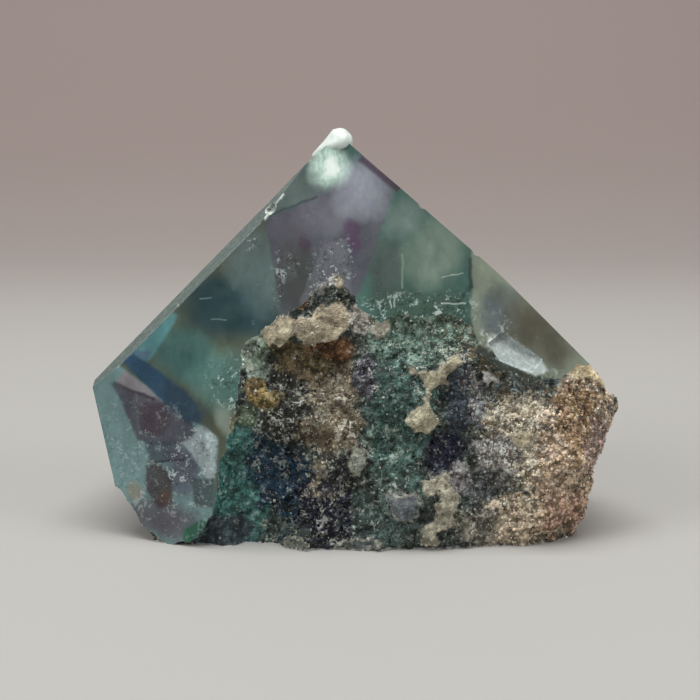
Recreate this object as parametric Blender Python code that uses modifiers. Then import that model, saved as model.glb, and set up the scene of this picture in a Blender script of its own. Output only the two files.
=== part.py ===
"""Fluorite point: one natural stone, sawn flat below and polished to a point above.

The stone is one piece, so the model is one object. A lumpy natural block is made first, a little
too big where the stone was worked, with pits and raised plates of crust in its skin. Flat cuts then
take off the polished faces, the cleaved flake, the chips and the base, as a lap and a saw would.
Front is -Y, right is +X, up is +Z, and the origin is on the sawn base, under the tip.
"""

import math

import bmesh
import bpy
from mathutils import Matrix, Vector, noise

MM = 0.001

# Driving sizes of the whole stone. The block starts this much proud of every face.
TIP_HEIGHT = 64.7 * MM
FRONT_DEPTH = 18.6 * MM
BACK_DEPTH = 19.0 * MM
FRONT_LEAN = 19.0
PROUD = 2.0 * MM
PROUD_BELOW = 5.0 * MM
CUTTER_SIDE = 200 * MM

# Mesh of the natural skin: the step it is shaped at, the step it is cleaned at, the share kept.
SHAPING_STEP = 1.15 * MM
CLEANING_STEP = 1.0 * MM
FACES_KEPT = 0.2

STONE_COLOUR = (0.13, 0.27, 0.25, 1.0)
STONE_ROUGHNESS = 0.25

# Outline of the sides, seen from the front: where the stone is widest, and its foot. It lies on
# the edges this far in front of the middle.
OUTLINE_AT = -9.0 * MM
LEFT_CORNER = Vector((-43.0, 22.8)) * MM
LEFT_KNEE = Vector((-39.3, 9.6)) * MM
LEFT_FOOT = Vector((-33.4, 0.0)) * MM
RIGHT_CORNER = Vector((46.2, 24.2)) * MM
RIGHT_KNEE = Vector((42.4, 12.5)) * MM
RIGHT_FOOT = Vector((39.0, 0.0)) * MM


def facing(azimuth, lean):
    """Unit vector that looks to the front at azimuth 0 and to the right at 90, tilted up by lean."""
    a, e = math.radians(azimuth), math.radians(lean)
    return Vector((math.sin(a) * math.cos(e), -math.cos(a) * math.cos(e), math.sin(e)))


def face_through(start, end, azimuth):
    """The face of this azimuth that holds the edge from start to end, as a point and a normal."""
    run = end - start
    lean = math.degrees(math.atan(-facing(azimuth, 0).dot(run) / run.z))
    return start, facing(azimuth, lean)


def on_face(face, x, z):
    """The point of a face that lies at this x and z."""
    point, normal = face
    y = point.y - (normal.x * (x - point.x) + normal.z * (z - point.z)) / normal.y
    return Vector((x, y, z))


def side_face(lower, upper, depth_turn):
    """A natural side that holds an outline edge seen from the front, turned to face back a little."""
    start = Vector((lower.x, OUTLINE_AT, lower.y))
    end = Vector((upper.x, OUTLINE_AT, upper.y))
    outward = 1 if lower.x > 0 else -1
    return face_through(start, end, outward * (90 + depth_turn))


# The polished faces. Each front one is the plane that holds a ridge seen in the outline.
FRONT_MIDDLE = (Vector((-3.3, -4.0, TIP_HEIGHT / MM)) * MM, facing(2, FRONT_LEAN))
LEFT_RIDGE = [on_face(FRONT_MIDDLE, x * MM, z * MM) for x, z in ((-14.5, 53.7), (-11.0, 35.0))]
FRONT_LEFT = face_through(*LEFT_RIDGE, -16)
RIGHT_RIDGE = [on_face(FRONT_MIDDLE, x * MM, z * MM) for x, z in ((23.5, 45.0), (27.5, 33.0))]
FRONT_RIGHT = face_through(*RIGHT_RIDGE, 18)

LEFT_SLOPE = [on_face(FRONT_MIDDLE, -7.2 * MM, 61.7 * MM), on_face(FRONT_LEFT, -42.3 * MM, 24.7 * MM)]
BEVEL_START = LEFT_SLOPE[0] + Vector((0.0, 0.2, 0.0)) * MM
BEVEL_END = LEFT_SLOPE[1] + Vector((-1.5, 2.8, 0.0)) * MM
LEFT_BEVEL = face_through(*LEFT_SLOPE, -62)
BACK_LEFT = face_through(BEVEL_START, BEVEL_END, -112)

RIGHT_SLOPE_TOP = [on_face(FRONT_MIDDLE, 1.6 * MM, 63.5 * MM), on_face(FRONT_MIDDLE, 24.4 * MM, 44.3 * MM)]
RIGHT_SLOPE_FOOT = [on_face(FRONT_RIGHT, 24.4 * MM, 44.3 * MM), on_face(FRONT_RIGHT, 44.6 * MM, 24.4 * MM)]
BACK_RIGHT_TOP = face_through(*RIGHT_SLOPE_TOP, 116)
BACK_RIGHT_FOOT = face_through(*RIGHT_SLOPE_FOOT, 104)
BACK_MIDDLE = (Vector((0, 5.2, 62.0)) * MM, facing(176, 18))
BACK_SIDE = (Vector((24.0, 15.0, 26.0)) * MM, facing(148, 14))
TIP_FACET = (FRONT_MIDDLE[0].copy(), facing(-14, 50))
LOWER_LEFT_RIDGE = [on_face(FRONT_LEFT, x * MM, z * MM) for x, z in ((-38.6, 28.0), (-24.5, 17.5))]
LOWER_LEFT = face_through(*LOWER_LEFT_RIDGE, -22)
LEFT_SIDE = side_face(LEFT_KNEE, LEFT_CORNER, 12)

POLISHED = {
    "front_middle": FRONT_MIDDLE,
    "front_left": FRONT_LEFT,
    "front_right": FRONT_RIGHT,
    "left_bevel": LEFT_BEVEL,
    "back_left": BACK_LEFT,
    "back_right_top": BACK_RIGHT_TOP,
    "back_right_foot": BACK_RIGHT_FOOT,
    "back_middle": BACK_MIDDLE,
    "back_side": BACK_SIDE,
    "tip_facet": TIP_FACET,
    "lower_left": LOWER_LEFT,
    "left_side": LEFT_SIDE,
}
BASE = (Vector((0, 0, 0)), Vector((0, 0, -1)))

# The natural faces that the saw and the lap never reached.
NATURAL = {
    "front": (Vector((0, -FRONT_DEPTH, 0)), facing(1, 2)),
    "back": (Vector((0, BACK_DEPTH, 0)), facing(181, 3)),
    "left_toe": side_face(LEFT_FOOT, LEFT_KNEE, 6),
    "right_side": side_face(RIGHT_KNEE, RIGHT_CORNER, 10),
    "right_toe": side_face(RIGHT_FOOT, RIGHT_KNEE, 4),
    "right_front": (Vector((42.0, -13.0, 16.0)) * MM, facing(48, 4)),
    "right_undercut": (Vector((31.5, -16.2, 0.0)) * MM, facing(33, -17)),
    "back_left_corner": (Vector((-34.0, 13.5, 8.0)) * MM, facing(-142, -4)),
    "back_right_corner": (Vector((37.0, 13.0, 8.0)) * MM, facing(136, -3)),
}

# Below these lines the stone is natural and rough. Points are x and height, left to right.
FRONT_POLISH_LINE = [
    (-50, 8.0), (-38.5, 7.5), (-35, 3.5), (-31, 1.0), (-26, 1.5), (-23.4, 6.0), (-21.6, 15.0), (-20.0, 24.0),
    (-17.8, 34.5), (-14.0, 38.9), (-9.0, 40.2), (-5.6, 43.5), (-3.6, 47.0), (-0.8, 46.5), (1.0, 41.5),
    (5.6, 38.2), (14.5, 39.6), (20.0, 38.4), (22.2, 33.2), (24.4, 30.7), (29.4, 28.4), (31.8, 30.0),
    (34.1, 29.3), (37.0, 32.0), (50, 31.0),
]
BACK_POLISH_LINE = [(-50, 14), (-34, 17), (-20, 22), (-8, 31), (6, 27), (18, 34), (30, 29), (50, 29)]

# Pits and steps of the rough front: centre x and height, half width and half height, depth.
HOLLOWS = [
    ("under_the_shelf", (-8.5, 30.5), (8.0, 4.2), 2.6),
    ("green_step", (-14.2, 9.0), (8.4, 9.5), 2.8),
    ("navy_gully", (16.0, 19.0), (4.2, 8.5), 1.6),
    ("beside_matrix", (21.5, 10.5), (4.5, 3.0), 1.6),
    ("below_the_flake", (25.0, 26.6), (6.5, 2.0), 1.4),
    ("right_notch", (42.0, 11.5), (4.0, 2.6), 1.2),
]

# Plates of crust on the rough front: centre x and height, half width and half height, how proud.
CRUST = [
    ("shelf", (-4.6, 36.9), (6.4, 3.2), 2.0),
    ("shelf_end", (-13.4, 35.4), (4.2, 2.2), 1.5),
    ("nugget", (-1.9, 43.8), (1.5, 2.2), 1.2),
    ("fork_arm", (15.2, 31.2), (3.4, 1.5), 1.3),
    ("fork_stem", (11.4, 28.4), (1.6, 2.4), 1.2),
    ("fork_blob", (11.8, 22.3), (3.0, 2.6), 1.5),
    ("low_plate", (14.8, 7.6), (2.6, 6.0), 1.3),
    ("grey_plate", (9.0, 8.8), (3.4, 3.4), 1.0),
    ("foot_patch", (-8.5, 2.2), (2.8, 1.8), 1.0),
    ("foot_ledge", (13.0, 1.4), (8.0, 1.6), 1.5),
    ("corner_crust", (39.0, 29.0), (4.6, 3.0), 1.3),
]

# Edges of the natural skin: how far the polish lines wander, and how soft they are, in millimetres.
LINE_WANDER = [(5.0, 1.1), (2.2, 0.5)]
LINE_SOFTNESS = (-0.4, 0.9)
BACK_STARTS = (-5.0, 5.0)
WEAR_ENDS_BELOW = (-PROUD_BELOW / MM, -0.7 * PROUD_BELOW / MM)

# Relief of the natural skin: the size of each swell and how deep it goes, in millimetres.
SWELLS = [(13.0, 1.5), (6.0, 0.7), (3.1, 0.4)]
LEDGE_SIZE = 11.0
LEDGE_DEPTH = 2.6
LEDGE_TREAD = 1.15
LEDGE_SHIFT = Vector((0, 3.7, 1.2))
LEDGE_SHARE = 0.7
SKIN_OFFSET = 0.9
LEAST_DEPTH = 0.4
UNDER_POLISH = 0.35 * MM

# The parent rock on the right: where it begins, how it leans, and its coarse grain.
ROCK_STARTS = (22.0, 30.0)
ROCK_LEAN = 0.35
ROCK_GRAIN = (4.2, 1.1)
ROCK_LEDGE_LOSS = 0.6

# Rims of the pits and plates: how ragged, and how soft.
RIM_RAGGED = [(2.3, 0.30), (1.2, 0.22)]
PIT_RIM = 0.2
PLATE_RIM = 0.1


def along_line(points, x):
    """Height of a line given by its corner points, at x, in millimetres."""
    for (x0, z0), (x1, z1) in zip(points, points[1:]):
        if x <= x1:
            return z0 + (z1 - z0) * (x - x0) / (x1 - x0)
    return points[-1][1]


def ramp(value, low, high):
    """0 below low, 1 above high, and smooth between."""
    t = min(1.0, max(0.0, (value - low) / (high - low)))
    return t * t * (3 - 2 * t)


def terrace(height, tread, sharpness=0.3):
    """Turns a rolling height into level treads with short risers, as cleavage breaks a stone."""
    level = math.floor(height / tread)
    return (level + ramp(height / tread - level, 0.5 - sharpness / 2, 0.5 + sharpness / 2)) * tread


def patch(p, centre, half, rim):
    """1 inside a ragged oval patch of the front and 0 outside it, with a rim of this softness."""
    ragged = sum(share * noise.noise(p / size) for size, share in RIM_RAGGED)
    away = math.hypot((p.x - centre[0]) / half[0], (p.z - centre[1]) / half[1]) + ragged
    return 1 - ramp(away, 1 - rim, 1 + rim)


def natural_share(p):
    """1 where the stone is natural and 0 where it was worked, at a place in millimetres."""
    back = ramp(p.y, *BACK_STARTS)
    line = along_line(FRONT_POLISH_LINE, p.x) * (1 - back) + along_line(BACK_POLISH_LINE, p.x) * back
    wander = sum(shift * noise.noise(p / size) for size, shift in LINE_WANDER)
    return ramp(line + wander - p.z, *LINE_SOFTNESS) * ramp(p.z, *WEAR_ENDS_BELOW)


def natural_depth(p):
    """How far the natural skin lies under the oversize block, both in millimetres."""
    rock = ramp(p.x + ROCK_LEAN * p.z, *ROCK_STARTS)
    swell = sum(deep * noise.noise(p / size + Vector((size, 0, 0))) for size, deep in SWELLS)
    ledges = terrace(LEDGE_DEPTH * (1 + noise.noise(p / LEDGE_SIZE + LEDGE_SHIFT)), LEDGE_TREAD)
    ledges = (1 - ROCK_LEDGE_LOSS * rock) * LEDGE_SHARE * (ledges - LEDGE_DEPTH)
    grain_size, grain_depth = ROCK_GRAIN
    depth = PROUD / MM + SKIN_OFFSET + swell + ledges + rock * grain_depth * noise.noise(p / grain_size)
    if p.y < 0:
        depth += sum(deep * patch(p, centre, half, PIT_RIM) for _, centre, half, deep in HOLLOWS)
        depth -= sum(proud * patch(p, centre, half, PLATE_RIM) for _, centre, half, proud in CRUST)
    return max(depth, LEAST_DEPTH)


def natural_place(vertex):
    """Where a point of the oversize block goes: worn in, and just under the polished planes."""
    share = natural_share(vertex.co / MM)
    place = vertex.co.copy()
    if share > 0:
        place -= vertex.normal * share * natural_depth(vertex.co / MM) * MM
        highest = (1 - share) * PROUD - share * UNDER_POLISH
        for point, normal in POLISHED.values():
            place -= normal * max(0.0, (place - point).dot(normal) - highest)
    return place


def even_skin(mesh, step, share=1.0):
    """The mesh with one clean skin of even squares, and only this share of its faces kept."""
    body = bpy.data.objects.new("skin", mesh)
    bpy.context.scene.collection.objects.link(body)
    remesh = body.modifiers.new("even squares", "REMESH")
    remesh.mode = "VOXEL"
    remesh.voxel_size = step
    if share < 1:
        thin = body.modifiers.new("fewer faces", "DECIMATE")
        thin.ratio = share
    graph = bpy.context.evaluated_depsgraph_get()
    even = bpy.data.meshes.new_from_object(body.evaluated_get(graph))
    bpy.data.objects.remove(body)
    return even


def natural_block():
    """The stone as found: a many-sided block whose natural faces are lumpy, ledged and pitted."""
    bm = bmesh.new()
    bmesh.ops.create_cube(bm, size=CUTTER_SIDE)
    sides = [(face, PROUD) for face in list(NATURAL.values()) + list(POLISHED.values())]
    for (point, normal), proud in sides + [(BASE, PROUD_BELOW)]:
        cut = bmesh.ops.bisect_plane(
            bm, geom=bm.verts[:] + bm.edges[:] + bm.faces[:],
            plane_co=point + normal * proud, plane_no=normal, clear_outer=True,
        )
        rim = [e for e in cut["geom_cut"] if isinstance(e, bmesh.types.BMEdge)]
        if rim:
            bmesh.ops.contextual_create(bm, geom=rim)
    bmesh.ops.recalc_face_normals(bm, faces=bm.faces)
    mesh = bpy.data.meshes.new("block")
    bm.to_mesh(mesh)
    bm.free()
    shaped = even_skin(mesh, SHAPING_STEP)
    moved = [natural_place(v) for v in shaped.vertices]
    for vertex, place in zip(shaped.vertices, moved):
        vertex.co = place
    return even_skin(shaped, CLEANING_STEP, FACES_KEPT)


def half_space(name, face, folder):
    """A big block whose near side lies on a face, and which holds everything outside it."""
    point, normal = face
    bpy.ops.mesh.primitive_cube_add(size=CUTTER_SIDE)
    cutter = bpy.context.object
    turn = normal.to_track_quat("Z", "Y").to_matrix().to_4x4()
    cutter.matrix_world = Matrix.Translation(point + normal * CUTTER_SIDE / 2) @ turn
    return as_helper(cutter, name, folder)


def as_helper(obj, name, folder):
    """Names a helper, moves it to its collection and keeps it out of renders."""
    obj.name = name
    for owner in list(obj.users_collection):
        owner.objects.unlink(obj)
    folder.objects.link(obj)
    obj.hide_render = True
    obj.display_type = "WIRE"
    return obj


# Bruises where three faces meet or along an edge: the face, the place on it and the radius.
CHIPS = [
    ("front_middle", (-13.2, 54.6), 1.5),
    ("front_middle", (11.9, 54.9), 0.9),
    ("front_middle", (20.8, 47.6), 1.0),
    ("front_right", (25.2, 44.1), 0.8),
    ("front_right", (33.0, 36.6), 1.0),
    ("front_left", (-28.5, 38.9), 0.7),
]
CHIP_SHIFT = Vector((0, 0.2, 0.35)) * MM


def chip_cutter(folder):
    """Small many-sided balls on the ridges, joined as one cutter."""
    bm = bmesh.new()
    for name, (x, z), radius in CHIPS:
        place = on_face(POLISHED[name], x * MM, z * MM)
        made = bmesh.ops.create_icosphere(bm, subdivisions=1, radius=radius * MM)
        bmesh.ops.translate(bm, verts=made["verts"], vec=place + CHIP_SHIFT)
    mesh = bpy.data.meshes.new("chips")
    bm.to_mesh(mesh)
    bm.free()
    return as_helper(bpy.data.objects.new("chips", mesh), "chips", folder)


# The cleavage flake beside the right-hand crust: its outline as x and height, and how deep it starts.
FLAKE_OUTLINE = [
    (22.4, 33.6), (24.6, 35.4), (28.2, 33.0), (31.4, 30.8), (29.4, 28.9), (27.6, 29.6), (24.2, 30.9),
]
FLAKE_TOP = FLAKE_OUTLINE[1]
FLAKE_DEPTH = 1.9 * MM
FLAKE_START = on_face(FRONT_RIGHT, FLAKE_TOP[0] * MM, FLAKE_TOP[1] * MM) + Vector((0, FLAKE_DEPTH, 0))
FLAKE_FACE = (FLAKE_START, facing(10, 28))


def flake_cutter(folder):
    """A prism over the flake's outline that stops on the flake's own tilted face."""
    bm = bmesh.new()
    inner = [bm.verts.new(on_face(FLAKE_FACE, x * MM, z * MM)) for x, z in FLAKE_OUTLINE]
    bmesh.ops.contextual_create(bm, geom=inner)
    outer = bmesh.ops.extrude_face_region(bm, geom=bm.faces[:])
    raised = [v for v in outer["geom"] if isinstance(v, bmesh.types.BMVert)]
    bmesh.ops.translate(bm, verts=raised, vec=Vector((0, -FRONT_DEPTH, 0)))
    bmesh.ops.recalc_face_normals(bm, faces=bm.faces)
    mesh = bpy.data.meshes.new("flake")
    bm.to_mesh(mesh)
    bm.free()
    return as_helper(bpy.data.objects.new("flake", mesh), "flake", folder)


# The rounded nub at the tip: middle, half sizes, how it leans to the right, how lumpy it is.
NUB_MIDDLE = Vector((-2.3, 0.9, 64.9)) * MM
NUB_HALF = Vector((2.8, 3.6, 2.4)) * MM
NUB_TILT = -22
NUB_LUMPS = (0.12, 1.3)


def tip_nub(folder):
    """The milky, rounded end of the point, just behind the tip facet."""
    bm = bmesh.new()
    bmesh.ops.create_icosphere(bm, subdivisions=3, radius=1)
    turn = Matrix.Rotation(math.radians(NUB_TILT), 4, "Y")
    height, closeness = NUB_LUMPS
    for v in bm.verts:
        lump = 1 + height * noise.noise(v.co * closeness)
        v.co = NUB_MIDDLE + turn @ (v.co * NUB_HALF * lump)
    mesh = bpy.data.meshes.new("nub")
    bm.to_mesh(mesh)
    bm.free()
    return as_helper(bpy.data.objects.new("nub", mesh), "nub", folder)


def stone_material():
    """Blue-green fluorite, glossy where it is polished."""
    material = bpy.data.materials.new("fluorite")
    material.use_nodes = True
    shader = material.node_tree.nodes["Principled BSDF"]
    shader.inputs["Base Color"].default_value = STONE_COLOUR
    shader.inputs["Roughness"].default_value = STONE_ROUGHNESS
    shader.inputs["Metallic"].default_value = 0.0
    return material


def new_folder(name):
    folder = bpy.data.collections.new(name)
    bpy.context.scene.collection.children.link(folder)
    return folder


def boolean(obj, other, operation):
    modifier = obj.modifiers.new(f"{operation.lower()} {other.name}", "BOOLEAN")
    modifier.operation = operation
    modifier.object = other
    modifier.solver = "EXACT"


def main():
    for obj in list(bpy.data.objects):
        bpy.data.objects.remove(obj)
    stone_folder = new_folder("fluorite point")
    helper_folder = new_folder("cutters and nub")
    block = natural_block()
    stone = bpy.data.objects.new("fluorite_point", block)
    stone_folder.objects.link(stone)
    block.materials.append(stone_material())
    for name, face in POLISHED.items():
        boolean(stone, half_space(name, face, helper_folder), "DIFFERENCE")
    boolean(stone, flake_cutter(helper_folder), "DIFFERENCE")
    boolean(stone, chip_cutter(helper_folder), "DIFFERENCE")
    boolean(stone, tip_nub(helper_folder), "UNION")
    boolean(stone, half_space("base", BASE, helper_folder), "DIFFERENCE")


main()
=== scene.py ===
import math
import random

import bmesh
import bpy
from mathutils import Euler, Matrix, Vector, noise
from mathutils.bvhtree import BVHTree


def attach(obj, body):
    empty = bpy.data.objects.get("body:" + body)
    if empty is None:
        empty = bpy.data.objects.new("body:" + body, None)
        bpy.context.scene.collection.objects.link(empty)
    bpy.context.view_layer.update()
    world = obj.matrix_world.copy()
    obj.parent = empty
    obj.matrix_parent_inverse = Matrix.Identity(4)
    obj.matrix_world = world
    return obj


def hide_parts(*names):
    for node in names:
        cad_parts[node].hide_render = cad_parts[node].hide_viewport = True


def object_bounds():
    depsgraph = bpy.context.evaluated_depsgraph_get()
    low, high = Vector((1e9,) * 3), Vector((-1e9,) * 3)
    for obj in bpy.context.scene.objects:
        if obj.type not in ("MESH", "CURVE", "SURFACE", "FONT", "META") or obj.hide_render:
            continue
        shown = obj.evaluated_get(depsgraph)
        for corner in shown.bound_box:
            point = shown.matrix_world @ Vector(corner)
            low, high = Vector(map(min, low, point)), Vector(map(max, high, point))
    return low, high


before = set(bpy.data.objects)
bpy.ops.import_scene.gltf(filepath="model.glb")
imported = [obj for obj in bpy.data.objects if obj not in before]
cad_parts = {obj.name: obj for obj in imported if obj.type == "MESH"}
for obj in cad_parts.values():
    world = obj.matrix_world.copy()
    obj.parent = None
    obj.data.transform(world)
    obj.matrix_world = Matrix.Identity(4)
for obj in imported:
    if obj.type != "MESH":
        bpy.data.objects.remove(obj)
cad_box = [list(corner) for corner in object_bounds()]

# The stone. One lump of fluorite with a natural, crystalline skin. It was sawn flat below and
# ground and polished into flat faces above, so here too the rough skin is made first and the
# flat faces are then cut through it, on the very planes of the solid.
MM = 0.001
MERGE = 0.001 * MM
SAME_FACING = 0.9995
SAME_PLANE = 0.02 * MM
SKIN_STEP = 0.32 * MM
RELIEF_SEED = 3
SAW_ALLOWANCE = 0.30 * MM
WORN_EDGE = 0.18 * MM
POLISHED_FACINGS = {
    "front_middle": (0.033, -0.945, 0.326),
    "front_left": (-0.266, -0.927, 0.264),
    "front_right": (0.285, -0.877, 0.387),
    "lower_left": (-0.372, -0.921, 0.117),
    "left_side": (-0.943, 0.201, -0.264),
    "back_left": (-0.686, 0.277, 0.673),
    "back_right_top": (0.657, 0.320, 0.683),
    "back_right_foot": (0.701, 0.175, 0.692),
    "back_middle": (0.066, 0.949, 0.309),
    "back_side": (0.514, 0.823, 0.242),
    "tip_facet": (-0.156, -0.624, 0.766),
}
GROUND_FACINGS = {"left_bevel": (-0.663, -0.353, 0.660)}
SAWN_FACINGS = {"base": (0.0, 0.0, -1.0)}
FLAKE_FACING = (0.153, -0.870, 0.469)
FLAKE_ASCENT = (0.58, 0.0, 0.81)
FLAKE_WALL = 2.2 * MM
FLAKE_RIM = 0.6 * MM
SKIN, GLOSS, SAWN, GROUND, CLEAVED = FINISHES = range(5)
RISE_SHARES = (0.12, 0.40, 0.70)
BLOCK_SIZE = 0.4


def flat_at(skin, facing):
    """The flat face of the solid that looks one way: its point, its normal and its triangles."""
    alike = [f for f in skin.faces if f.normal.dot(Vector(facing)) > SAME_FACING]
    largest = max(alike, key=lambda f: f.calc_area())
    point, normal = largest.calc_center_median(), largest.normal.copy()
    level = [f.index for f in alike if abs((f.calc_center_median() - point).dot(normal)) < SAME_PLANE]
    return point, normal, level


def in_scene(name, data):
    """A new object in the scene that holds this mesh, lamp or camera."""
    made = bpy.data.objects.new(name, data)
    bpy.context.scene.collection.objects.link(made)
    return made


def mesh_from(bm, name):
    """The mesh that a bmesh has become. The bmesh is freed."""
    mesh = bpy.data.meshes.new(name)
    bm.to_mesh(mesh)
    bm.free()
    return mesh


def with_modifiers(body):
    """The mesh of an object as its modifiers leave it."""
    return bpy.data.meshes.new_from_object(body.evaluated_get(bpy.context.evaluated_depsgraph_get()))


def even_copy(mesh, step):
    """A copy of a closed mesh with one even skin of small squares."""
    body = in_scene("even", mesh)
    remesh = body.modifiers.new("even squares", "REMESH")
    remesh.mode = "VOXEL"
    remesh.voxel_size = step
    even = with_modifiers(body)
    bpy.data.objects.remove(body)
    return even


def smooth_step(value, low, high):
    """0 where the value is below low, 1 where it is above high, and smooth between."""
    t = min(1.0, max(0.0, (value - low) / (high - low)))
    return t * t * (3 - 2 * t)


def srgb(red, green, blue):
    """A colour as a screen shows it, from 0 to 255, as the linear values that shaders use."""
    shares = (c / 255 for c in (red, green, blue))
    return tuple(((c + 0.055) / 1.055) ** 2.4 if c > 10 / 255 else c / 12.92 for c in shares)


# In the four tables of zones, most colours were fitted by another program to means of small
# regions of the photo. They weren't chosen by eye, and they are to be set again by hand.
# The natural skin as zones seen from the front, painted one over another. Each has its middle
# and half width and height in millimetres, its tilt, how ragged its edge is, its colour, how many
# painted glints it has (crystals painted pale, as light caught on them), and how deep its relief is.
DRUSE = srgb(66, 78, 72)
DRUSE_SPARKLE = 0.6
DRUSE_DEPTH = 0.9
SKIN_ZONES = [
    ("green_field", (8.0, 24.0), (7.0, 14.0), 0, 0.35, srgb(80, 114, 106), 0.5, 0.8),
    ("green_druse", (11.6, 35.2), (8.6, 5.4), 0, 0.40, srgb(117, 147, 133), 0.9, 0.9),
    ("green_left", (-18.0, 10.5), (5.4, 12.5), 5, 0.25, srgb(82, 138, 131), 0.25, 0.35),
    ("green_foot", (-21.5, 2.0), (5.5, 3.0), 0, 0.30, srgb(62, 81, 87), 0.05, 0.25),
    ("navy_left", (-11.0, 12.0), (5.6, 9.0), 20, 0.55, srgb(8, 57, 83), 0.7, 0.8),
    ("purple_low", (-3.5, 6.5), (5.6, 7.5), 0, 0.60, srgb(18, 21, 49), 0.8, 0.9),
    ("green_low", (5.0, 5.5), (5.0, 6.5), 0, 0.60, srgb(86, 108, 104), 0.6, 0.8),
    ("dark_specks", (-9.6, 24.0), (6.4, 7.6), 0, 0.50, srgb(41, 43, 36), 0.8, 0.9),
    ("tan_column", (-2.6, 22.0), (5.0, 11.0), -6, 0.60, srgb(141, 129, 106), 0.9, 0.9),
    ("tan_tail", (-1.0, 13.5), (3.6, 3.6), 0, 0.60, srgb(29, 33, 33), 0.7, 0.8),
    ("rust_low", (-4.6, 18.4), (2.2, 1.6), 0, 0.60, srgb(107, 90, 70), 0.4, 0.8),
    # Brown below the shelf plates: partly the skin's brown, partly painted shadow under their overhang.
    ("brown_and_shelf_shadow", (-7.6, 30.8), (6.4, 3.2), 0, 0.45, srgb(113, 99, 69), 0.2, 0.8),
    ("under_shelf", (-2.6, 32.4), (4.2, 2.0), 0, 0.50, srgb(134, 93, 60), 0.2, 0.7),
    ("left_drip", (-15.6, 31.6), (2.4, 4.6), 14, 0.50, srgb(199, 222, 202), 0.8, 0.7),
    ("flat_olive", (-16.9, 22.0), (2.6, 2.0), 10, 0.30, srgb(77, 96, 73), 0.1, 0.3),
    ("olive_gold", (-13.2, 24.6), (2.4, 1.9), 20, 0.50, srgb(113, 97, 49), 0.5, 0.7),
    ("orange", (-15.4, 26.0), (1.9, 1.9), 0, 0.50, srgb(161, 138, 83), 0.5, 0.7),
    ("purple_speck", (2.4, 28.6), (1.8, 4.2), 0, 0.60, srgb(99, 97, 109), 0.7, 0.9),
    ("grey_gap", (1.6, 37.2), (1.8, 2.6), 0, 0.50, srgb(198, 193, 183), 0.6, 0.7),
    ("navy_gully", (18.0, 24.4), (2.6, 6.6), 0, 0.45, srgb(75, 88, 100), 0.3, 0.8),
    ("navy_toe", (15.4, 15.8), (3.4, 4.4), -30, 0.45, srgb(11, 20, 51), 0.3, 0.8),
    ("grey_gully", (20.8, 24.0), (1.8, 5.0), 0, 0.60, srgb(127, 132, 141), 0.9, 0.9),
    ("olive_band", (28.2, 26.4), (7.2, 3.0), 14, 0.35, srgb(113, 133, 137), 0.4, 0.6),
    ("matrix_tan", (29.5, 17.5), (8.0, 8.2), 25, 0.40, srgb(224, 215, 194), 0.7, 0.8),
    ("matrix_side", (37.0, 14.0), (7.4, 15.0), -6, 0.35, srgb(228, 204, 179), 0.6, 0.9),
    ("matrix_low", (28.5, 4.4), (8.0, 5.6), 0, 0.40, srgb(228, 210, 184), 0.6, 0.9),
    ("matrix_rust", (37.4, 20.5), (4.0, 6.2), 10, 0.70, srgb(171, 140, 109), 0.5, 0.9),
    ("matrix_gold", (32.6, 13.0), (2.4, 6.0), -20, 0.80, srgb(232, 206, 180), 0.5, 0.9),
    ("matrix_pink", (40.4, 17.0), (2.4, 5.0), -10, 0.60, srgb(206, 178, 168), 0.6, 0.8),
    ("low_pink", (35.6, 5.2), (4.2, 4.4), -24, 0.70, srgb(233, 193, 170), 0.5, 0.9),
    ("matrix_grey", (23.6, 15.2), (4.0, 4.4), 0, 0.60, srgb(175, 175, 173), 1.0, 0.9),
    ("purple_grey", (18.2, 12.0), (2.4, 2.8), 0, 0.50, srgb(169, 166, 167), 0.5, 0.8),
    ("dark_pocket", (23.6, 10.6), (3.8, 2.6), 8, 0.60, srgb(113, 116, 118), 0.5, 0.9),
    ("dark_low", (20.6, 4.0), (4.0, 3.2), 0, 0.60, srgb(144, 139, 125), 0.8, 0.9),
    ("white_druse", (-4.0, 45.0), (2.0, 4.6), -14, 0.70, srgb(236, 236, 236), 1.0, 0.8),
    ("gap_above", (-9.5, 40.2), (3.6, 1.6), 10, 0.50, srgb(122, 102, 76), 0.8, 0.6),
    ("left_toe", (-33.0, 3.0), (7.5, 4.6), 0, 0.40, srgb(58, 48, 60), 0.8, 0.6),
    ("rim_spot", (-37.0, 7.6), (1.8, 1.6), 0, 0.40, srgb(104, 108, 76), 0.3, 0.5),
]

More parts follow.
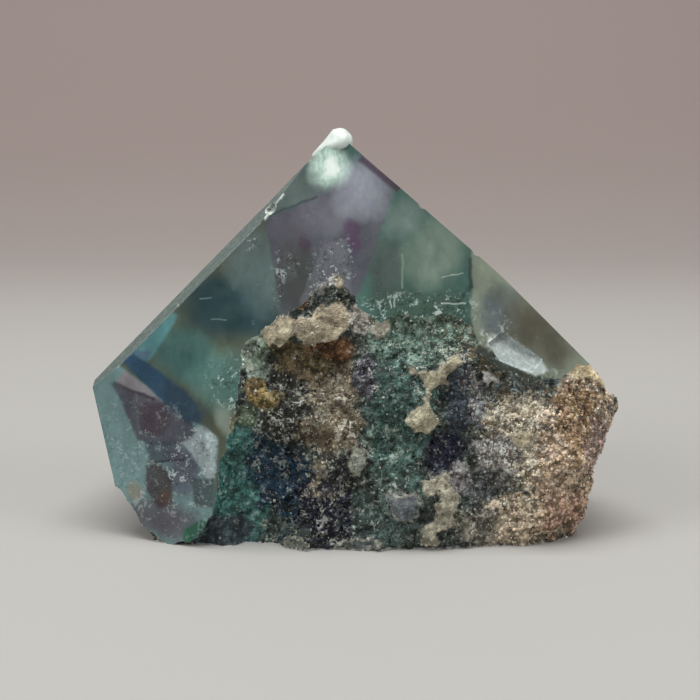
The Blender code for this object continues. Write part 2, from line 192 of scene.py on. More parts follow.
# Crust: thin plates of cream and tan mineral that lie on the skin and end in sharp ragged rims.
# Each large plate has its outline in millimetres seen from the front, each small one an oval.
CRUST_OUTLINES = [
    ("shelf_left", srgb(195, 185, 156), [
        (-17.9, 34.3), (-16.2, 36.1), (-14.4, 37.3), (-12.8, 37.4), (-11.0, 38.1), (-9.4, 37.8), (-9.0, 35.1),
        (-9.7, 34.4), (-10.3, 33.6), (-11.3, 33.0), (-12.6, 33.0), (-13.9, 33.6), (-14.4, 34.8),
        (-16.7, 34.4)]),
    ("shelf_right", srgb(165, 153, 129), [
        (-9.7, 37.6), (-8.1, 37.9), (-6.1, 37.6), (-5.5, 39.3), (-4.7, 39.7), (-3.7, 39.3), (-2.7, 39.9),
        (-1.5, 40.0), (-0.5, 39.2), (0.0, 37.7), (-0.2, 36.2), (-1.6, 34.9), (-1.9, 34.2), (-3.7, 34.0),
        (-5.2, 33.6), (-6.3, 32.9), (-7.4, 33.4), (-7.9, 34.2), (-8.7, 34.6), (-9.2, 35.3)]),
    ("nugget", srgb(236, 236, 236), [(-3.6, 45.0), (-2.6, 45.3), (-1.9, 44.7), (-2.6, 43.9), (-3.4, 44.2)]),
    ("nugget_foot", srgb(168, 158, 132), [(-2.6, 43.7), (-1.5, 44.3), (-1.0, 43.3), (-1.1, 42.3),
        (-2.3, 42.3)]),
    ("right_patch", srgb(178, 174, 157), [
        (3.6, 36.3), (4.8, 37.7), (6.5, 37.0), (6.6, 35.6), (5.5, 34.6), (4.0, 34.3), (3.7, 35.1)]),
    ("fork_arm", srgb(171, 165, 139), [
        (9.3, 29.8), (10.2, 30.2), (11.1, 29.3), (12.6, 29.5), (13.9, 29.3), (14.7, 30.2), (16.1, 31.4),
        (17.6, 32.0),
        (18.4, 30.8), (17.6, 29.9), (16.4, 29.0), (15.6, 28.1), (15.9, 26.7), (14.8, 27.0),
        (13.9, 26.7), (13.1, 25.9),
        (12.9, 23.9), (12.1, 23.9), (11.8, 25.2), (12.2, 26.4), (11.6, 27.8), (11.0, 28.6), (9.8, 28.9)]),
    ("blob", srgb(192, 187, 159), [
        (9.5, 22.9), (10.7, 23.9), (11.9, 24.2), (13.4, 23.6), (13.9, 22.2), (14.6, 20.9), (13.4, 20.1),
        (12.5, 19.1),
        (11.3, 19.6), (10.2, 19.8), (9.5, 20.9), (8.9, 21.8)]),
    ("arc_plate", srgb(236, 236, 236), [
        (21.3, 29.2), (22.6, 29.1), (23.9, 28.3), (25.5, 26.8), (24.2, 26.9), (23.1, 27.5),
        (22.6, 26.2), (21.5, 27.4)]),
    ("grey_plate", srgb(124, 132, 137), [
        (5.9, 10.4), (7.3, 9.7), (9.0, 9.9), (10.6, 10.2), (11.4, 9.2), (11.6, 7.7), (11.3, 6.1), (10.2, 4.9),
        (8.5, 5.0), (7.0, 5.8), (6.4, 7.7)]),
    ("low_plate", srgb(177, 172, 151), [
        (11.7, 11.7), (13.2, 12.0), (14.3, 12.5), (15.6, 12.9), (16.5, 12.0), (16.1, 10.8), (17.1, 9.8),
        (18.1, 7.8),
        (17.2, 6.9), (16.7, 5.9), (16.9, 4.4), (15.4, 3.6), (14.1, 2.9), (14.8, 0.8), (11.5, 0.5),
        (11.8, 3.9),
        (13.4, 4.9), (14.2, 6.3), (13.7, 7.8), (14.7, 9.0), (14.2, 9.8), (12.6, 9.5), (11.7, 10.4)]),
    ("plain_tan", srgb(191, 178, 150), [
        (26.3, 19.2), (29.2, 19.7), (30.3, 18.7), (29.2, 17.0), (27.5, 16.7), (26.3, 17.5)]),
    ("corner_crust", srgb(236, 215, 173), [
        (34.7, 31.8), (36.3, 32.8), (37.7, 32.7), (39.4, 31.0), (41.0, 29.9), (43.0, 27.7),
        (43.8, 25.1), (42.4, 24.7),
        (40.9, 26.2), (39.2, 27.2), (37.2, 27.1), (35.5, 27.5), (35.0, 29.8)]),
    ("foot_left", srgb(109, 115, 107), [
        (-11.0, 1.3), (-9.8, 2.0), (-7.7, 2.2), (-6.7, 1.3), (-7.1, -0.4), (-10.8, -0.4)]),
]
OUTLINE_MARGIN = 0.7
OUTLINE_BOXES = [
    (min(x for x, _ in corners) - OUTLINE_MARGIN, max(x for x, _ in corners) + OUTLINE_MARGIN,
     min(z for _, z in corners) - OUTLINE_MARGIN, max(z for _, z in corners) + OUTLINE_MARGIN)
    for _, _, corners in CRUST_OUTLINES
]
CRUST_OVALS = [
    ("pale_knob", (-20.4, 21.8), (1.7, 2.4), 10, 0.40, srgb(124, 122, 98)),
    ("foot_middle", (1.7, 1.0), (3.4, 1.0), 0, 0.40, srgb(108, 117, 115)),
    ("tan_bit", (1.1, 14.8), (1.2, 2.4), 0, 0.50, srgb(142, 148, 136)),
]
# The paler band inside each plate's edge: partly the crust's paler rim, partly painted highlight of light
# caught on the rims.
CRUST_RIM_AND_HIGHLIGHT = srgb(196, 188, 166)
# Bruises along the polished edges: middle, half width and height.
BRUISES = [
    ((-13.2, 54.6), (2.3, 2.3)), ((11.9, 54.9), (1.4, 1.4)), ((20.8, 47.6), (1.6, 1.6)),
    ((25.2, 44.1), (1.4, 1.4)), ((33.0, 36.6), (1.6, 1.6)), ((-28.5, 38.9), (1.2, 1.2)),
]
BRUISE_WHITE = srgb(196, 206, 200)
# The cleaved flake's pale tone: partly its fractured white, partly painted reflection of the light above.
FLAKE_PALE_AND_SHEEN = srgb(166, 178, 174)
PLATE_STEP = 0.50
# The parent rock, at the right: how its border leans, where it sets in, and where the back begins.
ROCK_LEAN = 0.35
ROCK_BORDER = (25.0, 31.0)
BACK_BORDER = (-9.0, -1.0)


def oval(p, centre, half, tilt, ragged):
    """How far a point is inside a ragged oval seen from the front: above 0 inside, below 0 outside."""
    turn = math.radians(tilt)
    x, z = p.x - centre[0], p.z - centre[1]
    along = (x * math.cos(turn) + z * math.sin(turn)) / half[0]
    across = (z * math.cos(turn) - x * math.sin(turn)) / half[1]
    edge = noise.noise(p / 2.6) * 0.8 + noise.noise(p / 1.1) * 0.6 + noise.noise(p / 0.5) * 0.25
    return 1 + ragged * edge - math.hypot(along, across)


def outline_depth(x, z, corners):
    """How far a point is inside an outline seen from the front, in millimetres, and below 0 outside."""
    inside, nearest = False, 1e9
    for (ax, az), (bx, bz) in zip(corners, corners[1:] + corners[:1]):
        along = ((x - ax) * (bx - ax) + (z - az) * (bz - az)) / ((bx - ax) ** 2 + (bz - az) ** 2)
        along = min(1.0, max(0.0, along))
        nearest = min(nearest, math.hypot(x - ax - along * (bx - ax), z - az - along * (bz - az)))
        if (az > z) != (bz > z) and x < ax + (z - az) / (bz - az) * (bx - ax):
            inside = not inside
    return nearest if inside else -nearest


def blend(first, second, share):
    """A colour between two, with this share of the second."""
    return tuple(a + (b - a) * share for a, b in zip(first, second))


def back_colour(p):
    """The skin's colour on the back: green fluorite with brown, navy and pale stretches."""
    brown = smooth_step(noise.noise(p / 14 + Vector((3, 1, 5))) + 0.02 * p.x, -0.1, 0.35)
    navy = smooth_step(noise.noise(p / 9 + Vector((8, 2, 1))), 0.1, 0.4)
    pale = smooth_step(noise.noise(p / 5 + Vector((1, 7, 4))), 0.25, 0.45)
    colour = blend(srgb(52, 76, 68), srgb(118, 100, 74), brown)
    colour = blend(colour, srgb(34, 38, 54), navy * (1 - brown))
    return blend(colour, srgb(134, 128, 110), 0.6 * pale)


def skin_look(p):
    """Colour, sparkle, depth of relief, crust and share of parent rock, p in millimetres."""
    behind = smooth_step(p.y, *BACK_BORDER)
    colour, sparkle, depth = DRUSE, DRUSE_SPARKLE, DRUSE_DEPTH
    for _, centre, half, tilt, ragged, tone, shine, deep in SKIN_ZONES:
        if abs(p.x - centre[0]) < 1.6 * half[0] + 2 and abs(p.z - centre[1]) < 1.6 * half[1] + 2:
            share = smooth_step(oval(p, centre, half, tilt, ragged), -0.12, 0.22)
            colour = blend(colour, tone, share)
            sparkle += (shine - sparkle) * share
            depth += (deep - depth) * share
    crust = 0.0
    wander = noise.noise(p / 0.9) * 0.30 + noise.noise(p / 0.4) * 0.15
    plates = [
        (tone, outline_depth(p.x, p.z, corners) + wander)
        for (_, tone, corners), (left, right, foot, top) in zip(CRUST_OUTLINES, OUTLINE_BOXES)
        if left < p.x < right and foot < p.z < top
    ]
    plates += [(row[-1], 1.5 * oval(p, *row[1:-1])) for row in CRUST_OVALS]
    for tone, inside in plates:
        if inside > -0.1:
            share = smooth_step(inside, -0.1, 0.15)
            # The band inside each plate's edge is painted paler: partly the crust's own rim, partly painted
            # highlight.
            rim = share * (1 - smooth_step(inside, 0.15, 0.5))
            colour = blend(colour, blend(tone, CRUST_RIM_AND_HIGHLIGHT, 0.55 * rim), share)
            sparkle += (0.3 - sparkle) * share
            crust = max(crust, share)
    if behind > 0:
        colour = blend(colour, back_colour(p), behind)
        crust *= 1 - behind
        depth += (DRUSE_DEPTH - depth) * behind
    for centre, half in BRUISES:
        share = smooth_step(oval(p, centre, half, 0, 0.3), 0, 0.3) * (1 - behind)
        colour = blend(colour, BRUISE_WHITE, share)
        depth *= 1 - 0.7 * share
    rock = smooth_step(p.x + ROCK_LEAN * p.z + 3 * noise.noise(p / 4), *ROCK_BORDER)
    return colour, sparkle, depth, crust, rock


def relief(p, depth, crust, rock):
    """How far the fine skin stands out from the solid, in millimetres."""
    rolling = 0.42 * noise.noise(p / 2.7) + 0.30 * noise.noise(p / 1.3)
    fine = 0.20 * noise.noise(p / 0.62)
    steps = 0.36 * noise.cell(p / 1.3 + noise.noise_vector(p / 3.1) * 0.5)
    lumps = 0.60 * (0.62 - noise.voronoi(p / 1.5)[0][0])
    druse = rolling + steps + fine - 0.25
    grainy = 0.7 * rolling + lumps + fine
    return depth * ((1 - rock) * druse + rock * grainy) + PLATE_STEP * crust


def by_flake(place):
    """True beside the cleaved face: on its walls above, and on a narrow rim of the skin below."""
    above = (place - flake_point).dot(Vector(FLAKE_ASCENT)) > 0
    return flake_tree.find_nearest(place, FLAKE_WALL if above else FLAKE_RIM)[0] is not None


noise.seed_set(RELIEF_SEED)
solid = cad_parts["fluorite_point"]
skin = bmesh.new()
skin.from_mesh(solid.data)
bmesh.ops.remove_doubles(skin, verts=skin.verts, dist=MERGE)
skin.verts.index_update()
skin.faces.index_update()
skin.faces.ensure_lookup_table()
flats = [
    (flat_at(skin, facing), finish)
    for facings, finish in ((POLISHED_FACINGS, GLOSS), (GROUND_FACINGS, GROUND), (SAWN_FACINGS, SAWN))
    for facing in facings.values()
]
flake_point, flake_normal, flake_faces = flat_at(skin, FLAKE_FACING)
owner = {index: i for i, ((_, _, level), _) in enumerate(flats) for index in level}
skin_tree = BVHTree.FromBMesh(skin)
flake_tree = BVHTree.FromPolygons(
    [v.co.copy() for v in skin.verts], [[v.index for v in skin.faces[i].verts] for i in flake_faces],
)

stone_bm = bmesh.new()
stone_bm.from_mesh(even_copy(mesh_from(skin, "merged"), SKIN_STEP))
tone_layer = stone_bm.verts.layers.float_color.new("tone")
crust_layer = stone_bm.verts.layers.float.new("crust")
stone_bm.normal_update()
nearest = {v: skin_tree.find_nearest(v.co) for v in stone_bm.verts}
beside_flake = {v for v in stone_bm.verts if by_flake(v.co)}
natural = {
    v for v, (_, _, index, _) in nearest.items()
    if index not in owner and index not in flake_faces and v not in beside_flake
}
natural_rim = {e.other_vert(v) for v in natural for e in v.link_edges} - natural
for v, (near, _, index, _) in nearest.items():
    p = v.co / MM
    # Beside the cleaved flake the skin takes the flake's pale tone, partly painted reflection.
    if v in beside_flake:
        v[tone_layer] = (*FLAKE_PALE_AND_SHEEN, 0.4)
    # At the rim of the flat faces the skin is painted 0.7 times as dark, with no sparkle: painted shade along
    # the step.
    elif v in natural_rim:
        v[tone_layer] = (*(0.7 * c for c in skin_look(p)[0]), 0.0)
    if index in owner:
        point, normal = flats[owner[index]][0][:2]
        v.co += normal * (SAW_ALLOWANCE - (v.co - point).dot(normal))
    elif index in flake_faces:
        v.co -= flake_normal * (v.co - flake_point).dot(flake_normal)
    elif v in beside_flake:
        v.co = near
    else:
        colour, sparkle, depth, crust, rock = skin_look(p)
        v.co = near + v.normal * relief(p, depth, crust, rock) * MM
        for (point, normal, _), finish in flats:
            if finish == GLOSS:
                over = (v.co - point).dot(normal) - 0.5 * (near - point).dot(normal)
                v.co -= normal * max(0.0, over)
        v[tone_layer] = (*colour, sparkle)
        v[crust_layer] = crust
# Near a polished face the skin rises to it over a few squares, so that no wall stands there.
risen = {v: owner[nearest[v][2]] for v in nearest if nearest[v][2] in owner}
for share in RISE_SHARES:
    ring = {}
    for v, face in risen.items():
        for edge in v.link_edges:
            beside = edge.other_vert(v)
            if beside in natural and beside not in risen and flats[face][1] == GLOSS:
                ring[beside] = face
    for v, face in ring.items():
        point, normal = flats[face][0][:2]
        v.co += normal * min(0.0, (v.co - point).dot(normal)) * (share - 1)
        v[crust_layer] = max(v[crust_layer], 1 - share)
    risen.update(ring)
rough_mesh = mesh_from(stone_bm, "rough")

# The flat faces as one clean block, its edges softened, which is then laid over the rough skin.
block_bm = bmesh.new()
bmesh.ops.create_cube(block_bm, size=BLOCK_SIZE)
for (point, normal, _), finish in flats:
    cut = bmesh.ops.bisect_plane(
        block_bm, geom=block_bm.verts[:] + block_bm.edges[:] + block_bm.faces[:],
        plane_co=point, plane_no=normal, clear_outer=True,
    )
    rim = [e for e in cut["geom_cut"] if isinstance(e, bmesh.types.BMEdge)]
    for face in bmesh.ops.contextual_create(block_bm, geom=rim)["faces"]:
        face.material_index = finish
ridges = [e for e in block_bm.edges if all(f.material_index in (GLOSS, GROUND) for f in e.link_faces)]
bmesh.ops.bevel(
    block_bm, geom=ridges, offset=WORN_EDGE / 2, offset_type="OFFSET", segments=2, profile=0.5,
    affect="EDGES", material=GLOSS, clamp_overlap=True,
)
bmesh.ops.recalc_face_normals(block_bm, faces=block_bm.faces)
block_mesh = mesh_from(block_bm, "block")
for mesh in (rough_mesh, block_mesh):
    for _ in FINISHES:
        mesh.materials.append(None)
rough, block = (in_scene(mesh.name, mesh) for mesh in (rough_mesh, block_mesh))
grinding = rough.modifiers.new("ground faces", "BOOLEAN")
grinding.operation = "INTERSECT"
grinding.solver = "MANIFOLD"
grinding.object = block
stone_bm = bmesh.new()
stone_bm.from_mesh(with_modifiers(rough))
for helper in (rough, block):
    bpy.data.objects.remove(helper)
for face in stone_bm.faces:
    if face.material_index == SKIN and by_flake(face.calc_center_median()):
        face.material_index = CLEAVED
    face.smooth = face.material_index == SKIN
for edge in stone_bm.edges:
    edge.smooth = {face.material_index for face in edge.link_faces} == {SKIN}
low, high = (Vector(corner) for corner in cad_box)
for v in stone_bm.verts:
    v.co = Vector(min(max(c, a), b) for c, a, b in zip(v.co, low, high))
rough_faces = [
    (face.calc_center_median(), face.normal.copy(), face.calc_area())
    for face in stone_bm.faces if face.material_index == SKIN
]
rough_faces.sort(key=lambda spot: tuple(round(c / MM, 3) for c in spot[0]))
stone_mesh = mesh_from(stone_bm, "stone")
stone = in_scene("stone", stone_mesh)


class Wire:
    """One output of a shader node. Sums written on it in Python add their Math nodes."""

    def __init__(self, tree, output=None):
        self.tree = tree
        self.output = output

    def node(self, kind, settings=None, sockets=None, output=0):
        """Adds any node: its settings first, then the values or wires of its sockets."""
        made = self.tree.nodes.new(kind)
        for name, value in (settings or {}).items():
            setattr(made, name, value)
        for name, value in (sockets or {}).items():
            if isinstance(value, Wire):
                self.tree.links.new(value.output, made.inputs[name])
            else:
                made.inputs[name].default_value = value
        return Wire(self.tree, made.outputs[output])

    def math(self, operation, *values):
        return self.node("ShaderNodeMath", {"operation": operation}, dict(enumerate(values)))

    def __add__(self, other):
        return self.math("ADD", self, other)

    def __sub__(self, other):
        return self.math("SUBTRACT", self, other)

    def __rsub__(self, other):
        return self.math("SUBTRACT", other, self)

    def __mul__(self, other):
        return self.math("MULTIPLY", self, other)

    def __truediv__(self, other):
        return self.math("DIVIDE", self, other)

    __radd__ = __add__
    __rmul__ = __mul__

    def step(self, low, high):
        """0 where this is below low, 1 where it is above high, and smooth between."""
        return self.node(
            "ShaderNodeMapRange", {"interpolation_type": "SMOOTHSTEP"},
            {"Value": self, "From Min": low, "From Max": high},
        )

    def paint(self, under, over):
        """The colour under, with the colour over laid on it where this is 1."""
        under = (*under, 1.0) if isinstance(under, tuple) else under
        over = (*over, 1.0) if isinstance(over, tuple) else over
        return self.node("ShaderNodeMix", {"data_type": "RGBA"}, {0: self, 6: under, 7: over}, 2)

    def shaded(self, light):
        """This colour made darker or lighter by a number."""
        grey = self.node("ShaderNodeCombineColor", None, {"Red": light, "Green": light, "Blue": light})
        settings = {"data_type": "RGBA", "blend_type": "MULTIPLY"}
        return self.node("ShaderNodeMix", settings, {0: 1.0, 6: self, 7: grey}, 2)

    def cloud(self, size, detail=3.0, roughness=0.55, warp=0.0):
        """Soft noise from 0 to 1 over this place, with swells of this size in millimetres."""
        sockets = {
            "Vector": self, "Scale": 1 / size, "Detail": detail, "Roughness": roughness, "Distortion": warp,
        }
        return self.node("ShaderNodeTexNoise", None, sockets)

    def threads(self, size, width=0.04, rarity=0.5):
        """Short curved threads of 1 on 0, as of healed cracks and of crystal edges."""
        swell = self.cloud(size, 2.0, 0.5, 0.8) - 0.5
        line = 1 - swell.math("ABSOLUTE", swell).step(0.2 * width, width)
        return line * (self.moved(9, 4, 6).cloud(1.3 * size, 2.0) - rarity).step(0.0, 0.08)

    def grains(self, size, square=False):
        """Crystal grains of this size: a random number for each, and the distance to its heart."""
        settings = {"distance": "CHEBYCHEV" if square else "EUCLIDEAN"}
        heart = self.node("ShaderNodeTexVoronoi", settings, {"Vector": self, "Scale": 1 / size}, "Distance")
        colour = Wire(self.tree, heart.output.node.outputs["Color"])
        return self.node("ShaderNodeSeparateColor", None, {"Color": colour}, "Red"), heart

    def moved(self, x=0.0, y=0.0, z=0.0, turn=(0.0, 0.0, 0.0), scale=(1.0, 1.0, 1.0)):
        """This place shifted in millimetres, turned and stretched, so that patterns differ."""
        sockets = {"Vector": self, "Location": (x, y, z), "Rotation": turn, "Scale": scale}
        return self.node("ShaderNodeMapping", None, sockets)


def new_material(name):
    """A material with an empty node sheet: its first wire, its place in millimetres, its output node."""
    material = bpy.data.materials.new(name)
    material.use_nodes = True
    material.node_tree.nodes.clear()
    start = Wire(material.node_tree)
    place = start.node("ShaderNodeTexCoord", None, None, "Object")
    place = place.node("ShaderNodeVectorMath", {"operation": "SCALE"}, {"Vector": place, "Scale": 1 / MM})
    sink = material.node_tree.nodes.new("ShaderNodeOutputMaterial")
    return material, start, place, sink


def finish_with(sink, shader, volume=None):
    """Wires a shader, and what fills the stone behind it, to a material's output."""
    shader.tree.links.new(shader.output, sink.inputs["Surface"])
    if volume:
        shader.tree.links.new(volume.output, sink.inputs["Volume"])


# Polished fluorite. Light goes some way in, so bands and clouds of colour show below the gloss:
# teal and indigo to the left, a purple block in the middle, grey-green to the right.
IOR = 1.434
WATER_COLOUR = (0.55, 0.86, 0.82, 1.0)
WATER_DENSITY = 14.0


class Front:
    """Places on the polished front, in millimetres across and up, for painting zones by their outlines."""

    def __init__(self, x, z):
        self.x = x
        self.z = z

    def beside(self, start, end):
        """Distance to the right of one who walks from start to end, seen from the front."""
        run = (end[0] - start[0], end[1] - start[1])
        length = math.hypot(*run)
        across = (run[1] / length, -run[0] / length)
        offset = start[0] * across[0] + start[1] * across[1]
        return self.x * across[0] + self.z * across[1] - offset

    def inside(self, corners, soft=0.5):
        """1 inside a convex outline given clockwise, fading out over the soft width."""
        depth = None
        for start, end in zip(corners, corners[1:] + corners[:1]):
            side = self.beside(start, end)
            depth = side if depth is None else depth.math("MINIMUM", depth, side)
        return depth.step(-soft, soft)

    def spot(self, centre, half, tilt=0, fade=0.5):
        """1 in the middle of an oval and 0 outside it."""
        c, s = math.cos(math.radians(tilt)), math.sin(math.radians(tilt))
        along = (self.x * c + self.z * s - (centre[0] * c + centre[1] * s)) / half[0]
        across = (self.z * c - self.x * s - (centre[1] * c - centre[0] * s)) / half[1]
        away = along * along + across * across
        return 1 - away.step(1 - fade, 1 + fade)

    def line(self, start, end, width):
        """1 on a thin line between two points, fading out over its width."""
        run = (end[0] - start[0], end[1] - start[1])
        length = math.hypot(*run)
        off = self.beside(start, end)
        along = (self.x * run[0] + self.z * run[1] - (start[0] * run[0] + start[1] * run[1])) / length
        past = (along - length / 2).math("ABSOLUTE", along - length / 2) - length / 2
        away = off.math("MAXIMUM", off.math("ABSOLUTE", off), past)
        return 1 - away.step(0.2 * width, width)


# These colours were fitted by another program too, as in the zones of the natural skin.
# Zones of the clear stone, laid one over another: where each shows, its clockwise outline or its
# oval (middle, half size, tilt), how strongly it shows, and its colour.
CLEAR_ZONES = [
    ("right_base", "all", None, 1.0, srgb(86, 122, 113)),
    ("left_base", "left", None, 1.0, srgb(101, 109, 91)),
    ("tealdark", "left", ((-20.6, 38.6), (5.6, 5.2), 44), 0.85, srgb(13, 63, 79)),
    ("left_shade", "left", ((-14.0, 37.6), (3.6, 4.4), 10), 0.7, srgb(35, 73, 91)),
    ("upright", "left", ((-15.0, 45.2), (4.0, 6.6), 14), 0.8, srgb(111, 131, 133)),
    ("tealgreen", "left", ((-25.6, 30.0), (4.6, 4.2), -30), 0.7, srgb(69, 128, 128)),
    ("teallight", "left", ((-19.6, 26.4), (4.4, 4.6), -30), 0.8, srgb(110, 160, 152)),
    ("cyan", "left", [
        (-33.5, 29.2), (-30.8, 32.5), (-29.3, 34.4), (-27.6, 36.5), (-26.7, 36.0), (-27.7, 33.8),
        (-30.8, 28.3),
        (-32.2, 27.9)], 0.85, srgb(108, 172, 178)),
    ("cyan_blue", "left", [(-35.2, 27.3), (-33.3, 29.6), (-30.8, 29.8), (-31.1, 27.3)],
        0.7, srgb(98, 125, 152)),
    ("purple_left", "middle", [
        (-16.0, 52.5), (6.0, 60.6), (6.8, 56.1), (4.0, 47.5), (-0.8, 36.0), (-12.9, 36.0)],
        0.95, srgb(101, 98, 111)),
    ("purple_mid", "middle", ((-2.6, 54.6), (6.0, 3.6), 22), 0.8, srgb(132, 132, 143)),
    ("green_tip", "middle", [(-15.0, 53.0), (-5.0, 64.5), (-2.0, 62.5), (-5.4, 56.7)],
        0.9, srgb(111, 126, 123)),
    ("brown_streak", "middle", ((-8.4, 44.0), (3.0, 7.0), 6), 0.7, srgb(77, 77, 72)),
    # A pale patch high in the middle: painted reflection of a light, not a colour in the stone.
    ("painted_reflection", "middle", ((2.0, 57.6), (4.6, 4.4), -50), 0.85, srgb(180, 183, 198)),
    ("magenta", "middle", ((0.4, 50.2), (1.3, 2.9), 12), 0.85, srgb(105, 72, 109)),
    ("magenta_left", "middle", ((-7.3, 49.6), (0.9, 1.5), 0), 0.5, srgb(96, 66, 90)),
    ("grey_veil", "middle", [(-8.3, 40.0), (-4.2, 49.4), (-0.8, 49.8), (0.4, 45.3), (0.2, 40.0)],
        0.35, srgb(150, 150, 158)),
    ("dark_green_r", "right", ((6.2, 45.6), (3.0, 5.0), -8), 0.85, srgb(91, 100, 97)),
    ("light_r", "right", ((13.8, 47.6), (4.4, 5.2), -30), 0.75, srgb(148, 164, 149)),
    ("green_r1", "right", ((9.0, 53.2), (2.6, 3.0), -40), 0.6, srgb(145, 159, 155)),
    ("low_blue", "right", ((10.6, 39.6), (7.4, 2.4), -4), 0.6, srgb(73, 92, 78)),
    ("olive_r", "beyond", None, 0.8, srgb(170, 179, 158)),
    ("low_r", "beyond", ((24.8, 38.0), (3.6, 3.2), -40), 0.85, srgb(102, 114, 124)),
    ("brown_strip", "beyond", ((25.6, 39.6), (1.2, 4.0), 42), 0.6, srgb(120, 129, 121)),
    ("olive_corner", "beyond", ((32.0, 34.4), (7.4, 4.0), -38), 0.95, srgb(109, 105, 90)),
    ("under_flake", "beyond", [
        (19.5, 34.0), (32.0, 27.8), (44.0, 21.0), (40.0, 18.0), (19.5, 20.0)], 0.9,
        srgb(62, 66, 58)),
    ("silver", "corner", None, 1.0, srgb(136, 173, 173)),
    ("slate", "corner", [
        (-34.8, 26.2), (-32.2, 24.9), (-28.3, 21.9), (-25.2, 19.2), (-26.5, 18.7), (-35.6, 23.5)],
        0.8, srgb(167, 154, 161)),
    ("purplebrown", "corner", [
        (-36.5, 23.5), (-32.2, 22.9), (-27.5, 21.7), (-24.1, 19.7), (-23.4, 16.6), (-27.2, 14.6),
        (-32.0, 14.4)],
        0.9, srgb(88, 84, 100)),
    ("brown_heart", "corner", [(-32.4, 21.1), (-28.3, 21.6), (-27.1, 18.3), (-28.7, 16.0),
        (-31.5, 16.0)], 0.8,
        srgb(80, 62, 76)),
    ("grey_dark", "corner", [(-30.8, 14.6), (-25.5, 16.1), (-25.5, 12.4), (-29.9, 10.9)],
        0.8, srgb(64, 77, 90)),
    ("lowgrey", "corner", ((-27.6, 1.6), (5.0, 3.4), 0), 0.85, srgb(99, 85, 98)),
    ("specks", "corner", ((-24.9, 11.0), (2.4, 4.6), 0), 0.8, srgb(85, 76, 103)),
    ("rust", "corner", [(-30.5, 10.2), (-28.5, 11.4), (-26.4, 8.8), (-26.2, 4.4), (-28.0, 3.3),
        (-30.2, 5.9)], 0.85,
        srgb(69, 44, 50)),
    ("rust_spot", "corner", ((-27.2, 5.6), (0.9, 1.0), 0), 0.6, srgb(104, 74, 48)),
    ("olive_spot", "corner", ((-32.0, 5.4), (1.4, 1.6), 0), 0.8, srgb(161, 155, 138)),
    ("fracture", "corner", [(-25.2, 15.6), (-22.9, 19.0), (-20.4, 19.6), (-20.1, 12.2), (-20.9, 9.8)],
        0.9, srgb(192, 209, 212)),
    ("facet", "corner", [(-23.6, 9.9), (-20.2, 10.8), (-19.4, 5.6), (-23.0, 5.3)], 0.85, srgb(71, 86, 90)),
    ("greenbottom", "all", [(-24.2, 0.6), (-22.0, 2.9), (-18.0, 3.6), (-16.0, -0.4), (-16.5, -4.0),
        (-24.0, -4.0)], 0.9,
        srgb(22, 110, 79)),
    ("knob", "all", ((-18.9, 20.8), (1.7, 2.5), 10), 0.75, srgb(163, 178, 163)),
    ("indigo", "all", [
        (-34.9, 27.4), (-33.4, 28.9), (-30.8, 27.7), (-27.3, 25.5), (-24.4, 23.3), (-22.9, 20.9),
        (-23.0, 19.2),
        (-25.0, 19.4), (-28.6, 21.9)], 0.95, srgb(50, 87, 116)),
    ("indigo_end", "all", ((-25.6, 22.2), (4.0, 2.2), -40), 0.7, srgb(60, 80, 92)),
]
# Straight growth lines, cracks and bright flecks: two ends, width, strength and colour.
CLEAR_LINES = [
    ((-14.4, 53.4), (-5.4, 56.6), 0.35, 0.5, srgb(60, 56, 62)),
    ((2.0, 62.2), (7.7, 57.8), 0.9, 0.75, srgb(84, 54, 76)),
    ((19.8, 46.4), (19.8, 42.2), 0.5, 0.7, srgb(60, 76, 70)),
    ((19.8, 42.2), (17.8, 39.8), 0.6, 0.6, srgb(60, 76, 70)),
    ((8.8, 47.4), (8.5, 42.2), 0.28, 0.8, srgb(146, 168, 150)),
    ((-36.0, 23.6), (-30.0, 22.2), 0.5, 0.6, srgb(58, 48, 62)),
    ((-30.0, 11.0), (-25.0, 12.8), 0.30, 0.7, srgb(44, 44, 54)),
    ((15.3, 43.8), (18.6, 44.3), 0.15, 0.8, srgb(196, 212, 204)),
    ((15.0, 39.6), (18.9, 39.5), 0.20, 0.9, srgb(206, 220, 212)),
    ((-23.4, 39.1), (-21.9, 39.6), 0.18, 0.5, srgb(140, 170, 170)),
    ((-21.5, 36.1), (-19.4, 36.4), 0.18, 0.5, srgb(140, 170, 170)),
]
# Places with threads and specks of light in the clear stone: where, oval and strength.
CRAZED = [
    ("corner", ((-27.0, 10.0), (14.0, 12.0), 0), 0.5), ("all", ((-18.6, 26.6), (3.4, 4.0), 0), 0.9),
    ("all", ((-3.0, 44.6), (3.4, 5.4), -14), 1.0), ("all", ((11.0, 38.8), (10.0, 2.6), 0), 1.0),
    ("all", ((-11.4, 44.6), (1.0, 4.6), 0), 0.8), ("all", ((24.0, 34.4), (4.0, 3.6), -40), 0.7),
        ("all", ((30.0, 27.0), (9.0, 2.4), -8), 0.8),
    ("all", ((-9.4, 46.0), (1.4, 1.8), 0), 0.8), ("all", ((-16.2, 49.2), (1.2, 1.2), 0), 0.8),
    ("corner", ((-22.4, 14.8), (2.8, 4.8), 0), 1.0), ("corner", ((-25.0, 11.0), (3.0, 5.0), 0), 1.0),
]


